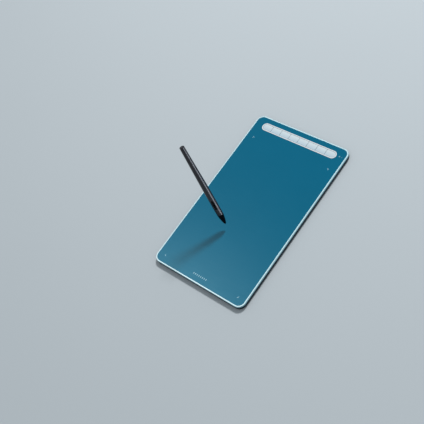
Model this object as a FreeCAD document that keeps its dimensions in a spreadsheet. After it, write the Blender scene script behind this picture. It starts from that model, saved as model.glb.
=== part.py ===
"""Pen drawing tablet with its cordless pen, as a parametric document.

The tablet lies flat: X runs along its length from the key strip to the plain end, Y runs across it
and Z is up. The origin is on the surface it rests on, under the middle of the case. The pen stands
over the drawing area, tilted as in a writing hand, and each of its pieces is drawn along its own
Z axis from the tip of the nib.
"""
import FreeCAD, Part
import math
import os
import re
import Sketcher

# name, size in millimetres (or degrees, or a count), what it sizes
SIZES = [
    ("case_length", 312.0, "case along X"),
    ("case_width", 183.0, "case along Y"),
    ("case_corner", 12.5, "corner radius of the case seen from above"),
    ("foot_drop", 0.6, "how far the feet stand below the case"),
    ("shell_top", 6.1, "height of the joint between back shell and cover"),
    ("face_top", 8.8, "height of the drawing face"),
    ("shell_wall", 2.2, "back shell wall"),
    ("shell_floor", 1.3, "back shell floor"),
    ("shell_edge", 0.8, "rounding along the bottom of the back shell"),
    ("seam_bevel", 0.2, "bevel of the back shell at the joint, which shows as a fine seam"),
    ("rim_run", 1.9, "bevel of the rim, seen from above"),
    ("rim_fall", 0.8, "bevel of the rim, seen from the side"),
    ("rim_edge", 0.25, "softening of the bevel's two edges"),
    ("sheet_inset", 2.3, "edge of the case to the recess of the drawing sheet"),
    ("sheet_thickness", 0.5, "drawing sheet"),
    ("sheet_gap", 0.1, "gap round a piece that is let into another"),
    ("cover_plate", 1.0, "thickness of the cover under the drawing sheet"),
    ("lip_inset", 2.4, "edge of the case to the cover's locating lip"),
    ("lip_thickness", 1.0, "locating lip"),
    ("lip_depth", 0.8, "how far the lip reaches into the back shell"),
    ("strip_x", -137.4, "centre line of the key strip"),
    ("strip_length", 148.0, "key strip bezel, along Y"),
    ("strip_width", 14.75, "key strip bezel, along X"),
    ("bezel_wall", 1.6, "wall of the bezel ring"),
    ("bezel_top", 9.25, "height of the top of the bezel"),
    ("bezel_bevel", 0.25, "bevel of the bezel's two top edges"),
    ("key_count", 8, "keys in the strip"),
    ("key_pitch", 18.1, "centre to centre of the keys"),
    ("key_gap", 0.3, "gap between two keys"),
    ("key_side_gap", 0.3, "gap between a key and the bezel"),
    ("key_top", 8.95, "height of the top of a key"),
    ("key_edge", 0.3, "rounding of a key's top edges"),
    ("flange_top", 7.0, "height of the top of a key's holding flange"),
    ("flange_bottom", 6.4, "height of the underside of a key's holding flange"),
    ("flange_reach", 0.7, "how far the flange reaches under the bezel"),
    ("stem_diameter", 3.0, "stem under a key"),
    ("stem_bottom", 5.75, "height of the end of a key's stem"),
    ("board_bottom", 3.1, "underside of the controller board"),
    ("board_thickness", 1.0, "controller board"),
    ("board_left", -147.0, "edge of the controller board beside the case's end wall"),
    ("board_right", -120.0, "inner edge of the controller board"),
    ("board_front", -80.0, "controller board, lowest Y"),
    ("board_back", 86.0, "controller board, highest Y"),
    ("board_corner", 6.0, "round corner of the controller board inside the case's own corner"),
    ("pillar_left_x", -142.0, "board pillars beside the end wall"),
    ("pillar_right_x", -124.0, "board pillars along the board's inner edge"),
    ("pillar_end_y", 66.0, "board pillars nearest to the case's sides"),
    ("pillar_inner_y", 20.0, "board pillar beside the charging socket"),
    ("switch_size", 5.0, "side of a key switch"),
    ("switch_height", 0.9, "key switch body above the board"),
    ("switch_bore", 2.0, "hole in a key switch for its plunger"),
    ("plunger_diameter", 1.84, "plunger of a key switch"),
    ("plunger_bottom", 4.75, "height of the plunger's lower end"),
    ("large_light_y", 79.4, "large indicator light"),
    ("small_light_y", 83.75, "small indicator light"),
    ("light_x", -139.0, "both indicator lights"),
    ("large_light_diameter", 2.4, "window of the large indicator"),
    ("small_light_diameter", 1.1, "window of the small indicator"),
    ("light_pipe_bottom", 5.3, "height of the lower end of the light pipes"),
    ("screw_end_x", 149.5, "screws near the end walls"),
    ("screw_corner_y", 76.0, "screws near the corners"),
    ("screw_side_y", 84.8, "screws near the side walls"),
    ("post_diameter", 4.4, "screw posts and the bosses below them"),
    ("post_bottom", 3.2, "height where the posts meet the bosses"),
    ("pilot_diameter", 1.7, "hole in a post for the screw's thread"),
    ("pilot_depth", 3.4, "depth of that hole"),
    ("screw_thread", 1.6, "thread of a case screw"),
    ("screw_head", 3.2, "head of a case screw"),
    ("screw_head_height", 0.9, "height of that head"),
    ("screw_clearance", 2.0, "hole in the floor for the thread"),
    ("head_recess", 3.8, "recess in the floor for the head"),
    ("cross_reach", 0.95, "cross recess in the head, centre to the end of an arm"),
    ("cross_half_width", 0.22, "half the width of an arm"),
    ("foot_x", 118.0, "centre of a foot"),
    ("foot_y", 78.0, "centre of a foot"),
    ("foot_length", 44.0, "foot, along X"),
    ("foot_width", 9.0, "foot, along Y"),
    ("foot_recess", 0.5, "depth of the recess that a foot is glued into"),
    ("sensor_left", -116.0, "sensor board, lowest X"),
    ("sensor_right", 146.0, "sensor board, highest X"),
    ("sensor_half_width", 80.0, "sensor board, half its size along Y"),
    ("sensor_bottom", 6.3, "underside of the sensor board"),
    ("sensor_thickness", 0.8, "sensor board"),
    ("shield_left", -110.0, "shield plate, lowest X"),
    ("shield_thickness", 0.3, "steel shield under the sensor board"),
    ("rib_count", 6, "ribs under the drawing area"),
    ("rib_first_x", -28.0, "first rib"),
    ("rib_pitch", 32.0, "rib spacing"),
    ("rib_thickness", 1.2, "a rib"),
    ("rib_length", 156.0, "rib along Y"),
    ("battery_left", -94.0, "battery, lowest X"),
    ("battery_length", 58.0, "battery along X"),
    ("battery_width", 80.0, "battery along Y"),
    ("battery_height", 3.6, "battery"),
    ("battery_corner", 1.2, "rounding of the battery's long edges"),
    ("foam_margin", 1.0, "battery edge to foam edge"),
    ("battery_connector_x", -123.5, "middle of the battery's connector"),
    ("battery_connector_y", 24.0, "middle of the battery's connector"),
    ("battery_connector_length", 5.0, "battery's connector along X"),
    ("battery_connector_width", 8.0, "battery's connector along Y"),
    ("battery_connector_height", 1.5, "battery's connector above the board"),
    ("lead_diameter", 1.0, "a wire of the battery lead"),
    ("lead_pitch", 2.5, "spacing of those wires"),
    ("flex_connector_x", -123.2, "middle of the ribbon cable's connector"),
    ("flex_connector_length", 3.6, "ribbon cable's connector along X"),
    ("flex_connector_height", 1.0, "ribbon cable's connector above the board"),
    ("flex_y", -39.0, "middle of the ribbon cable and its connector"),
    ("flex_width", 22.0, "ribbon cable and its connector along Y"),
    ("flex_thickness", 0.15, "ribbon cable"),
    ("flex_height", 0.6, "top of the ribbon cable above the board, at its connector"),
    ("flex_rise_start", -119.0, "where the ribbon cable starts to rise"),
    ("flex_rise_end", -116.8, "where the ribbon cable meets the sensor board"),
    ("flex_end", -111.0, "inner end of the ribbon cable"),
    ("socket_y", 44.0, "charging socket"),
    ("port_height", 3.6, "height of the middle of the charging socket and the power button"),
    ("socket_width", 9.0, "socket shell along Y"),
    ("socket_tall", 3.2, "socket shell along Z"),
    ("socket_wall", 0.25, "sheet metal of the socket shell"),
    ("socket_depth", 8.7, "socket shell along X"),
    ("tongue_width", 6.7, "contact tongue along Y"),
    ("tongue_thickness", 0.7, "contact tongue along Z"),
    ("tongue_setback", 0.7, "mouth of the socket to the end of the tongue"),
    ("socket_base_start", 7.5, "mouth of the socket to its plastic base"),
    ("socket_base_depth", 3.0, "plastic base along X"),
    ("port_setback", 0.1, "end wall to the face of the socket and of the power button"),
    ("port_gap", 0.3, "gap round the socket and the power button in the wall"),
    ("power_y", 66.0, "power button"),
    ("power_length", 8.0, "power button along Y"),
    ("power_width", 2.4, "power button along Z"),
    ("power_depth", 2.5, "power button through the wall"),
    ("power_flange", 9.8, "holding flange of the power button along Y"),
    ("power_flange_depth", 0.6, "that flange along X"),
    ("power_stem", 1.8, "stem of the power button along X"),
    ("power_stem_diameter", 1.4, "that stem"),
    ("side_plunger_diameter", 1.2, "plunger of the power switch"),
    ("side_plunger_length", 2.0, "that plunger along X"),
    ("side_switch_setback", 5.7, "end wall to the face of the power switch"),
    ("side_switch_depth", 3.2, "power switch along X"),
    ("side_switch_width", 4.8, "power switch along Y"),
    ("side_switch_height", 1.8, "power switch along Z"),
    ("side_switch_bore", 1.4, "hole in the power switch for its plunger"),
    ("side_switch_back", 0.6, "wall behind that hole"),
    ("pen_tip_x", 50.9, "tip of the nib"),
    ("pen_tip_y", -12.2, "tip of the nib"),
    ("pen_hover", 10.5, "tip of the nib above the drawing face"),
    ("pen_heading", -120.3, "direction in which the pen leans, from +X"),
    ("pen_lean", 24.5, "angle between the pen and the vertical"),
    ("pen_roll", 165.0, "turn of the pen about its own axis"),
    ("pen_length", 153.5, "nib tip to the flat rear end"),
    ("nib_radius", 0.85, "nib"),
    ("nib_length", 27.3, "nib"),
    ("nib_fit", 0.08, "radial gap between the nib and its guide"),
    ("nib_room", 1.15, "radius of the way for the nib behind its guide"),
    ("cone_start", 1.6, "tip of the nib to the front of the cone"),
    ("cone_front_radius", 1.65, "front of the cone"),
    ("cone_end", 20.5, "tip to the shoulder of the cone"),
    ("cone_end_radius", 5.1, "shoulder of the cone"),
    ("cone_side_radius", 85.0, "gentle outward curve of the cone's side"),
    ("cone_guide_end", 10.0, "tip to the end of the nib's guide"),
    ("cone_room_start", 14.0, "tip to the full width of the room inside the cone"),
    ("cone_room_radius", 3.2, "room for the coil"),
    ("spigot_end", 26.0, "tip to the end of the cone's spigot"),
    ("spigot_radius", 4.05, "spigot of the cone, inside the barrel"),
    ("barrel_start", 20.7, "tip to the front of the barrel"),
    ("barrel_front_radius", 5.12, "front edge of the barrel"),
    ("barrel_front_bevel", 2.3, "length of the barrel's front bevel"),
    ("barrel_radius", 5.25, "grip of the barrel"),
    ("barrel_wall", 1.1, "barrel wall"),
    ("taper_station", 72.0, "tip to where the barrel starts to taper"),
    ("taper_blend", 20.0, "length of the soft bend into the taper"),
    ("barrel_end", 149.8, "tip to the rear end of the barrel"),
    ("tail_radius", 3.95, "rear end of the barrel"),
    ("cap_start", 150.0, "tip to the seam of the end cap"),
    ("cap_edge", 0.6, "rounding of the end cap"),
    ("cap_end_radius", 3.85, "rear end of the cap"),
    ("cap_spigot_start", 144.0, "tip to the front of the cap's spigot"),
    ("cap_spigot_radius", 2.7, "that spigot"),
    ("button_slot_start", 33.1, "tip to the front of the button slot"),
    ("button_slot_length", 17.8, "button slot"),
    ("button_slot_width", 4.2, "button slot"),
    ("button_length", 8.0, "a side button"),
    ("button_width", 3.6, "a side button"),
    ("button_gap", 0.4, "slot end to button"),
    ("button_top", 5.75, "pen axis to the top of a button"),
    ("button_floor", 3.4, "pen axis to the holding flange of a button"),
    ("button_flange", 0.7, "thickness of that flange"),
    ("button_flange_reach", 0.8, "how far that flange reaches under the end of the slot"),
    ("button_edge", 0.5, "rounding of a button's top"),
    ("button_stem_diameter", 1.6, "stem of a side button"),
    ("button_stem_bottom", 1.2, "pen axis to the end of that stem"),
    ("pen_switch_bore", 1.76, "hole in a pen switch"),
    ("pen_switch_size", 3.4, "pen switch along and across the pen"),
    ("pen_switch_height", 1.0, "pen switch above its board"),
    ("pen_board_start", 32.2, "tip to the front of the pen's board"),
    ("pen_board_end", 100.0, "tip to the rear of the pen's board"),
    ("pen_board_width", 5.8, "pen's board"),
    ("pen_board_thickness", 0.8, "pen's board"),
    ("cradle_start", 33.0, "tip to the front of the inner cradle"),
    ("cradle_radius", 3.5, "outside of the cradle"),
    ("cradle_wall", 0.45, "cradle wall"),
    ("ferrite_start", 12.5, "tip to the front of the ferrite core"),
    ("ferrite_end", 25.8, "tip to the rear of the ferrite core"),
    ("ferrite_radius", 1.9, "ferrite core"),
    ("coil_start", 14.5, "tip to the front of the coil"),
    ("coil_end", 23.5, "tip to the rear of the coil"),
    ("coil_radius", 2.75, "coil"),
    ("winding_gap", 0.05, "gap between the ferrite core and the winding"),
    ("force_start", 26.2, "tip to the front of the force sensor"),
    ("force_end", 32.0, "tip to the rear of the force sensor"),
    ("force_radius", 3.4, "force sensor"),
    ("force_bore_end", 28.3, "tip to the bottom of the force sensor's hole"),
]

NAMES = {name for name, size, note in SIZES}

doc = FreeCAD.newDocument("PenTablet")
sheet = doc.addObject("Spreadsheet::Sheet", "Sizes")
for row, (name, size, note) in enumerate(SIZES, 1):
    sheet.set(f"A{row}", note)
    sheet.set(f"B{row}", str(size))
    sheet.setAlias(f"B{row}", name)
doc.recompute()

pieces = []


def bound(text):
    """An expression in which each size's name refers to its cell."""
    return re.sub(r"[a-z]\w*", lambda word: ("Sizes." if word[0] in NAMES else "") + word[0], text)


def value(text):
    """The number that an expression gives now."""
    return float(sheet.evalExpression(bound(text)))


def drive(sketch, kind, *where, size):
    """Add a dimension to a sketch and bind it to an expression."""
    index = sketch.addConstraint(Sketcher.Constraint(kind, *where, value(size)))
    sketch.setExpression(f"Constraints[{index}]", bound(size))


# ---- drawing in sketches ----------------------------------------------------------------------


def draw_polygon(sketch, corners, curved=None):
    """A closed outline through corners, anticlockwise. curved gives the radius of a side that bulges.

    A level side whose radius is half its length becomes a half circle, which its centre then fixes.
    """
    curved = curved or {}
    first = sketch.GeometryCount
    count = len(corners)
    spots = [FreeCAD.Vector(value(x), value(y), 0) for x, y in corners]
    for side in range(count):
        start = spots[side]
        end = spots[(side + 1) % count]
        if side in curved:
            radius = value(curved[side])
            half_chord = (end - start).Length / 2
            bulge = radius - math.sqrt(max(radius**2 - half_chord**2, 0))
            outward = FreeCAD.Vector((end - start).y, -(end - start).x, 0).normalize()
            middle = (start + end) / 2 + outward * bulge
            sketch.addGeometry(Part.Arc(start, middle, end), False)
        else:
            sketch.addGeometry(Part.LineSegment(start, end), False)
    for side, (x, y) in enumerate(corners):
        following = first + (side + 1) % count
        sketch.addConstraint(Sketcher.Constraint("Coincident", first + side, 2, following, 1))
        drive(sketch, "DistanceX", first + side, 1, size=x)
        drive(sketch, "DistanceY", first + side, 1, size=y)
        if side in curved and half_circle(spots, side, curved[side]):
            drive(sketch, "DistanceY", first + side, 3, size=y)
        elif side in curved:
            drive(sketch, "Radius", first + side, size=curved[side])


def half_circle(spots, side, radius):
    """Whether a side's ends are a full diameter apart."""
    chord = spots[(side + 1) % len(spots)] - spots[side]
    return abs(chord.Length / 2 - value(radius)) < 1e-6


def draw_rectangle(sketch, left, right, low, high):
    """A rectangle between four expressions."""
    draw_polygon(sketch, [(left, low), (right, low), (right, high), (left, high)])


def draw_rounded_rectangle(sketch, length, width, radius):
    """A rectangle about the origin with four round corners."""
    first = sketch.GeometryCount
    half_length = value(length) / 2
    half_width = value(width) / 2
    corner = value(radius)
    for quarter in range(4):
        turn = quarter * math.pi / 2
        along, across = (half_length, half_width) if quarter % 2 == 0 else (half_width, half_length)
        place = FreeCAD.Rotation(FreeCAD.Vector(0, 0, 1), math.degrees(turn))
        start = place.multVec(FreeCAD.Vector(corner - along, -across, 0))
        end = place.multVec(FreeCAD.Vector(along - corner, -across, 0))
        centre = place.multVec(FreeCAD.Vector(along - corner, corner - across, 0))
        circle = Part.Circle(centre, FreeCAD.Vector(0, 0, 1), corner)
        sketch.addGeometry(Part.LineSegment(start, end), False)
        sketch.addGeometry(Part.ArcOfCircle(circle, turn - math.pi / 2, turn), False)
    for quarter in range(4):
        side = first + 2 * quarter
        following = first + (2 * quarter + 2) % 8
        direction = "Horizontal" if quarter % 2 == 0 else "Vertical"
        sketch.addConstraint(Sketcher.Constraint("Tangent", side, 2, side + 1, 1))
        sketch.addConstraint(Sketcher.Constraint("Tangent", side + 1, 2, following, 1))
        sketch.addConstraint(Sketcher.Constraint(direction, side))
        if quarter:
            sketch.addConstraint(Sketcher.Constraint("Equal", first + 1, side + 1))
    drive(sketch, "Radius", first + 1, size=radius)
    drive(sketch, "DistanceY", first, 1, size=f"-({width}) / 2")
    drive(sketch, "DistanceX", first + 2, 1, size=f"({length}) / 2")
    drive(sketch, "DistanceY", first + 4, 1, size=f"({width}) / 2")
    drive(sketch, "DistanceX", first + 6, 1, size=f"-({length}) / 2")


def draw_pill(sketch, length, width, x="0", y="0", upright=True):
    """Two half circles joined by straight sides: long along the sketch's Y if upright, else its X."""
    first = sketch.GeometryCount
    radius = value(width) / 2
    reach = (value(length) - value(width)) / 2
    middle = FreeCAD.Vector(value(x), value(y), 0)
    turn = 0 if upright else -math.pi / 2
    place = FreeCAD.Rotation(FreeCAD.Vector(0, 0, 1), math.degrees(turn))
    for end in (1, -1):
        base = middle + place.multVec(FreeCAD.Vector(end * radius, -end * reach, 0))
        top = middle + place.multVec(FreeCAD.Vector(end * radius, end * reach, 0))
        centre = middle + place.multVec(FreeCAD.Vector(0, end * reach, 0))
        start_angle = turn if end == 1 else turn + math.pi
        circle = Part.Circle(centre, FreeCAD.Vector(0, 0, 1), radius)
        sketch.addGeometry(Part.LineSegment(base, top), False)
        sketch.addGeometry(Part.ArcOfCircle(circle, start_angle, start_angle + math.pi), False)
    for side, following in ((0, 2), (2, 0)):
        sketch.addConstraint(Sketcher.Constraint("Tangent", first + side, 2, first + side + 1, 1))
        sketch.addConstraint(Sketcher.Constraint("Tangent", first + side + 1, 2, first + following, 1))
    sketch.addConstraint(Sketcher.Constraint("Equal", first + 1, first + 3))
    drive(sketch, "Radius", first + 1, size=f"({width}) / 2")
    for arc, sign in ((1, "+"), (3, "-")):
        shift = f"{sign} (({length}) - ({width})) / 2"
        drive(sketch, "DistanceX", first + arc, 3, size=x if upright else f"{x} {shift}")
        drive(sketch, "DistanceY", first + arc, 3, size=f"{y} {shift}" if upright else y)


def draw_cross(sketch, x, y):
    """A plus sign about a point, for a screwdriver."""
    long = "cross_reach"
    short = "cross_half_width"
    arm = [(long, f"-{short}"), (long, short), (short, short)]
    corners = []
    for quarter in range(4):
        for across, along in arm:
            corners.append((f"{x} + ({across})", f"{y} + ({along})"))
        arm = [(f"-({along})", across) for across, along in arm]
    draw_polygon(sketch, corners)


def draw_circle(sketch, diameter, x="0", y="0"):
    """A circle about a point."""
    centre = FreeCAD.Vector(value(x), value(y), 0)
    circle = Part.Circle(centre, FreeCAD.Vector(0, 0, 1), value(diameter) / 2)
    index = sketch.addGeometry(circle, False)
    drive(sketch, "Diameter", index, size=diameter)
    drive(sketch, "DistanceX", index, 3, size=x)
    drive(sketch, "DistanceY", index, 3, size=y)


# ---- features ---------------------------------------------------------------------------------


def new_body(label, group=False):
    """A body that becomes one node. group lets it hold several separate solids."""
    body = doc.addObject("PartDesign::Body", label)
    body.Label = label
    body.AllowCompound = group
    pieces.append(body)
    return body


def new_sketch(body, plane="XY_Plane", level="0"):
    """A sketch on one of the body's own planes, raised along the plane's normal."""
    sketch = body.newObject("Sketcher::SketchObject", "outline")
    support = [item for item in body.Origin.OriginFeatures if item.Role == plane]
    sketch.AttachmentSupport = [(support[0], "")]
    sketch.MapMode = "FlatFace"
    sketch.setExpression("AttachmentOffset.Base.z", bound(level))
    return sketch


def pad(sketch, length, backwards=False):
    """Grow a sketch into the solid."""
    feature = sketch.getParent().newObject("PartDesign::Pad", "pad")
    feature.Profile = sketch
    feature.setExpression("Length", bound(length))
    feature.Reversed = backwards
    return feature


def cut(sketch, length, forwards=False):
    """Sink a sketch into the solid, and make sure that it removed something."""
    body = sketch.getParent()
    doc.recompute()
    before = body.Shape.Volume
    feature = body.newObject("PartDesign::Pocket", "pocket")
    feature.Profile = sketch
    feature.setExpression("Length", bound(length))
    feature.Reversed = forwards
    doc.recompute()
    if body.Shape.Volume > before - 1e-3:
        raise RuntimeError(f"a pocket in {body.Label} removes nothing")
    return feature


def revolve(sketch, angle=360.0, both_ways=False):
    """Turn a sketch about the body's Z axis."""
    feature = sketch.getParent().newObject("PartDesign::Revolution", "revolution")
    feature.Profile = sketch
    feature.ReferenceAxis = (sketch, ["V_Axis"])
    feature.Angle = angle
    feature.Midplane = both_ways
    return feature


def edges_where(shape, test):
    """Names of the edges whose two ends and middle all pass a test."""
    found = []
    for number, edge in enumerate(shape.Edges, 1):
        middle = edge.valueAt((edge.FirstParameter + edge.LastParameter) / 2)
        if all(test(spot) for spot in [vertex.Point for vertex in edge.Vertexes] + [middle]):
            found.append(f"Edge{number}")
    return found


def round_edges(body, base, radius, test):
    """Round the edges of a feature that pass a test."""
    doc.recompute()
    feature = body.newObject("PartDesign::Fillet", "round")
    feature.Base = (base, edges_where(base.Shape, test))
    feature.setExpression("Radius", bound(radius))
    return feature


def bevel_edges(body, base, size, test, second=None):
    """Bevel the edges of a feature that pass a test. second is the other leg, if it differs."""
    doc.recompute()
    feature = body.newObject("PartDesign::Chamfer", "bevel")
    feature.Base = (base, edges_where(base.Shape, test))
    if second:
        feature.ChamferType = "Two distances"
        feature.setExpression("Size2", bound(second))
    feature.setExpression("Size", bound(size))
    return feature


def near(number, size):
    """Whether a number is what an expression gives."""
    return abs(number - value(size)) < 1e-4


def block(label, low, high, listed=True):
    """A box between two corners, each three expressions."""
    box = doc.addObject("Part::Box", label)
    box.Label = label
    for side, axis, start, end in zip(("Length", "Width", "Height"), "xyz", low, high):
        box.setExpression(side, bound(f"({end}) - ({start})"))
        box.setExpression(f"Placement.Base.{axis}", bound(start))
    if listed:
        pieces.append(box)
    return box


def group(label, members):
    """Separate solids of one kind, as one node."""
    compound = doc.addObject("Part::Compound", label)
    compound.Label = label
    compound.Links = members
    pieces.append(compound)
    return compound


# ---- places -----------------------------------------------------------------------------------

SCREW_PLACES = [
    ("-screw_end_x", "-screw_corner_y"),
    ("-screw_end_x", "0"),
    ("-screw_end_x", "screw_corner_y"),
    ("screw_end_x", "-screw_corner_y"),
    ("screw_end_x", "0"),
    ("screw_end_x", "screw_corner_y"),
    ("0", "-screw_side_y"),
    ("0", "screw_side_y"),
]
FOOT_PLACES = [(f"{x}foot_x", f"{y}foot_y") for x in ("-", "") for y in ("-", "")]
BOARD_PILLARS = [
    ("pillar_left_x", "-pillar_end_y"),
    ("pillar_left_x", "pillar_inner_y"),
    ("pillar_right_x", "-pillar_end_y"),
    ("pillar_right_x", "0"),
    ("pillar_right_x", "pillar_end_y"),
]
INNER_FLOOR = "(foot_drop + shell_floor)"
PLATE_BOTTOM = "(face_top - sheet_thickness - cover_plate)"
BOARD_TOP = "(board_bottom + board_thickness)"
END_WALL = "(-case_length / 2)"
PORT_FACE = "(-case_length / 2 + port_setback)"
SENSOR_TOP = "(sensor_bottom + sensor_thickness)"


def case_outline(sketch, inset):
    """The case's outline seen from above, moved inwards."""
    draw_rounded_rectangle(
        sketch, f"case_length - 2 * ({inset})", f"case_width - 2 * ({inset})", f"case_corner - ({inset})"
    )


def key_y(index):
    """Centre of a key along the strip, counted from the lowest Y."""
    return f"({index} - (key_count - 1) / 2) * key_pitch"


# ---- case -------------------------------------------------------------------------------------


def make_clear_cover():
    """Clear upper half of the case: bevelled rim, recess for the drawing sheet, lip and screw posts."""
    body = new_body("clear_cover")
    outline = new_sketch(body, level="shell_top")
    case_outline(outline, "0")
    plate = pad(outline, "face_top - shell_top")
    bevel = bevel_edges(body, plate, "rim_run", lambda spot: near(spot.z, "face_top"), second="rim_fall")
    rim_edges = ("face_top", "face_top - rim_fall")
    round_edges(body, bevel, "rim_edge", lambda spot: any(near(spot.z, edge) for edge in rim_edges))

    recess = new_sketch(body, level="face_top")
    case_outline(recess, "sheet_inset")
    cut(recess, "sheet_thickness")
    hollow = new_sketch(body, level="shell_top")
    case_outline(hollow, "lip_inset + lip_thickness")
    cut(hollow, f"{PLATE_BOTTOM} - shell_top", forwards=True)

    lip = new_sketch(body, level="shell_top")
    case_outline(lip, "lip_inset")
    case_outline(lip, "lip_inset + lip_thickness")
    pad(lip, "lip_depth", backwards=True)
    posts = new_sketch(body, level=PLATE_BOTTOM)
    for x, y in SCREW_PLACES:
        draw_circle(posts, "post_diameter", x, y)
    pad(posts, f"{PLATE_BOTTOM} - post_bottom", backwards=True)
    pilots = new_sketch(body, level="post_bottom")
    for x, y in SCREW_PLACES:
        draw_circle(pilots, "pilot_diameter", x, y)
    cut(pilots, "pilot_depth", forwards=True)

    windows = new_sketch(body, level="face_top")
    draw_windows(windows)
    cut(windows, "face_top - shell_top")


def draw_windows(sketch):
    """Openings in the face for the key strip and the two indicator lights."""
    draw_pill(sketch, "strip_length + 2 * sheet_gap", "strip_width + 2 * sheet_gap", x="strip_x")
    draw_circle(sketch, "large_light_diameter + 2 * sheet_gap", "light_x", "large_light_y")
    draw_circle(sketch, "small_light_diameter + 2 * sheet_gap", "light_x", "small_light_y")


def make_drawing_surface():
    """Textured sheet that the pen draws on, let into the cover."""
    body = new_body("drawing_surface")
    outline = new_sketch(body, level="face_top - sheet_thickness")
    case_outline(outline, "sheet_inset + sheet_gap")
    draw_windows(outline)
    pad(outline, "sheet_thickness")


def make_back_shell():
    """Lower half of the case: a tray with ribs, screw bosses, foot recesses and two wall openings."""
    body = new_body("back_shell")
    outline = new_sketch(body, level="foot_drop")
    case_outline(outline, "0")
    tray = pad(outline, "shell_top - foot_drop")
    rounded = round_edges(body, tray, "shell_edge", lambda spot: near(spot.z, "foot_drop"))
    bevel_edges(body, rounded, "seam_bevel", lambda spot: near(spot.z, "shell_top"))
    hollow = new_sketch(body, level="shell_top")
    case_outline(hollow, "shell_wall")
    cut(hollow, f"shell_top - {INNER_FLOOR}")

    bosses = new_sketch(body, level=INNER_FLOOR)
    for x, y in SCREW_PLACES:
        draw_circle(bosses, "post_diameter", x, y)
    pad(bosses, f"post_bottom - {INNER_FLOOR}")
    pillars = new_sketch(body, level=INNER_FLOOR)
    for x, y in BOARD_PILLARS:
        draw_circle(pillars, "post_diameter", x, y)
    pad(pillars, f"board_bottom - {INNER_FLOOR}")
    ribs = new_sketch(body, level=INNER_FLOOR)
    for index in range(int(value("rib_count"))):
        middle = f"(rib_first_x + {index} * rib_pitch)"
        draw_rectangle(
            ribs,
            f"{middle} - rib_thickness / 2",
            f"{middle} + rib_thickness / 2",
            "-rib_length / 2",
            "rib_length / 2",
        )
    pad(ribs, f"sensor_bottom - shield_thickness - {INNER_FLOOR}")

    threads = new_sketch(body, level="post_bottom")
    for x, y in SCREW_PLACES:
        draw_circle(threads, "screw_clearance", x, y)
    cut(threads, "post_bottom - foot_drop")
    heads = new_sketch(body, level="foot_drop")
    for x, y in SCREW_PLACES:
        draw_circle(heads, "head_recess", x, y)
    cut(heads, "shell_floor", forwards=True)
    feet = new_sketch(body, level="foot_drop")
    for x, y in FOOT_PLACES:
        draw_pill(feet, "foot_length + 2 * sheet_gap", "foot_width + 2 * sheet_gap", x, y, upright=False)
    cut(feet, "foot_recess", forwards=True)

    ports = new_sketch(body, "YZ_Plane", END_WALL)
    draw_pill(
        ports,
        "socket_width + 2 * port_gap",
        "socket_tall + 2 * port_gap",
        "socket_y",
        "port_height",
        upright=False,
    )
    draw_pill(
        ports,
        "power_length + 2 * port_gap",
        "power_width + 2 * port_gap",
        "power_y",
        "port_height",
        upright=False,
    )
    cut(ports, "shell_wall", forwards=True)


def make_feet():
    """Four rubber feet in their recesses."""
    body = new_body("rubber_feet", group=True)
    outline = new_sketch(body)
    for x, y in FOOT_PLACES:
        draw_pill(outline, "foot_length", "foot_width", x, y, upright=False)
    feet = pad(outline, "foot_drop + foot_recess")
    round_edges(body, feet, "foot_recess / 2", lambda spot: near(spot.z, "0"))


def make_case_screws():
    """Screws that pull the back shell against the cover's posts."""
    body = new_body("case_screws", group=True)
    heads = new_sketch(body, level=f"{INNER_FLOOR} - screw_head_height")
    threads = new_sketch(body, level=INNER_FLOOR)
    sockets = new_sketch(body, level=f"{INNER_FLOOR} - screw_head_height")
    for x, y in SCREW_PLACES:
        draw_circle(heads, "screw_head", x, y)
        draw_circle(threads, "screw_thread", x, y)
        draw_cross(sockets, x, y)
    pad(heads, "screw_head_height")
    pad(threads, f"post_bottom + pilot_depth - {INNER_FLOOR} - 2 * sheet_gap")
    cut(sockets, "screw_head_height / 2", forwards=True)


# ---- key strip --------------------------------------------------------------------------------


def make_key_bezel():
    """Raised ring round the eight keys."""
    body = new_body("key_bezel")
    outline = new_sketch(body, level=PLATE_BOTTOM)
    draw_pill(outline, "strip_length", "strip_width", x="strip_x")
    draw_pill(outline, "strip_length - 2 * bezel_wall", "strip_width - 2 * bezel_wall", x="strip_x")
    ring = pad(outline, f"bezel_top - {PLATE_BOTTOM}")
    bevel_edges(body, ring, "bezel_bevel", lambda spot: near(spot.z, "bezel_top"))


def draw_key(sketch, grow, rounded):
    """Outline of a key about its centre. An end key is rounded to match the bezel's end."""
    half = f"(strip_width / 2 - bezel_wall - key_side_gap + {grow})"
    low = "(key_gap / 2 - key_pitch / 2)"
    if not rounded:
        draw_rectangle(sketch, f"-{half}", half, low, f"-{low}")
        return
    bend = "(key_pitch / 2 - strip_width / 2 + bezel_wall)"
    corners = [(f"-{half}", low), (half, low), (half, bend), (f"-{half}", bend)]
    draw_polygon(sketch, corners, curved={2: half})


def make_key(index):
    """One key: cap, holding flange and stem."""
    body = new_body(f"key_{index + 1}")
    last = int(value("key_count")) - 1
    rounded = index in (0, last)
    flange = new_sketch(body, level="flange_bottom")
    draw_key(flange, "flange_reach", rounded)
    pad(flange, "flange_top - flange_bottom")
    cap = new_sketch(body, level="flange_top")
    draw_key(cap, "0", rounded)
    top = pad(cap, "key_top - flange_top")
    round_edges(body, top, "key_edge", lambda spot: near(spot.z, "key_top"))
    stem = new_sketch(body, level="flange_bottom")
    draw_circle(stem, "stem_diameter")
    pad(stem, "flange_bottom - stem_bottom", backwards=True)
    body.setExpression("Placement.Base.x", bound("strip_x"))
    body.setExpression("Placement.Base.y", bound(key_y(index)))
    if index == 0:
        body.Placement.Rotation = FreeCAD.Rotation(FreeCAD.Vector(0, 0, 1), 180)


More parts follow.
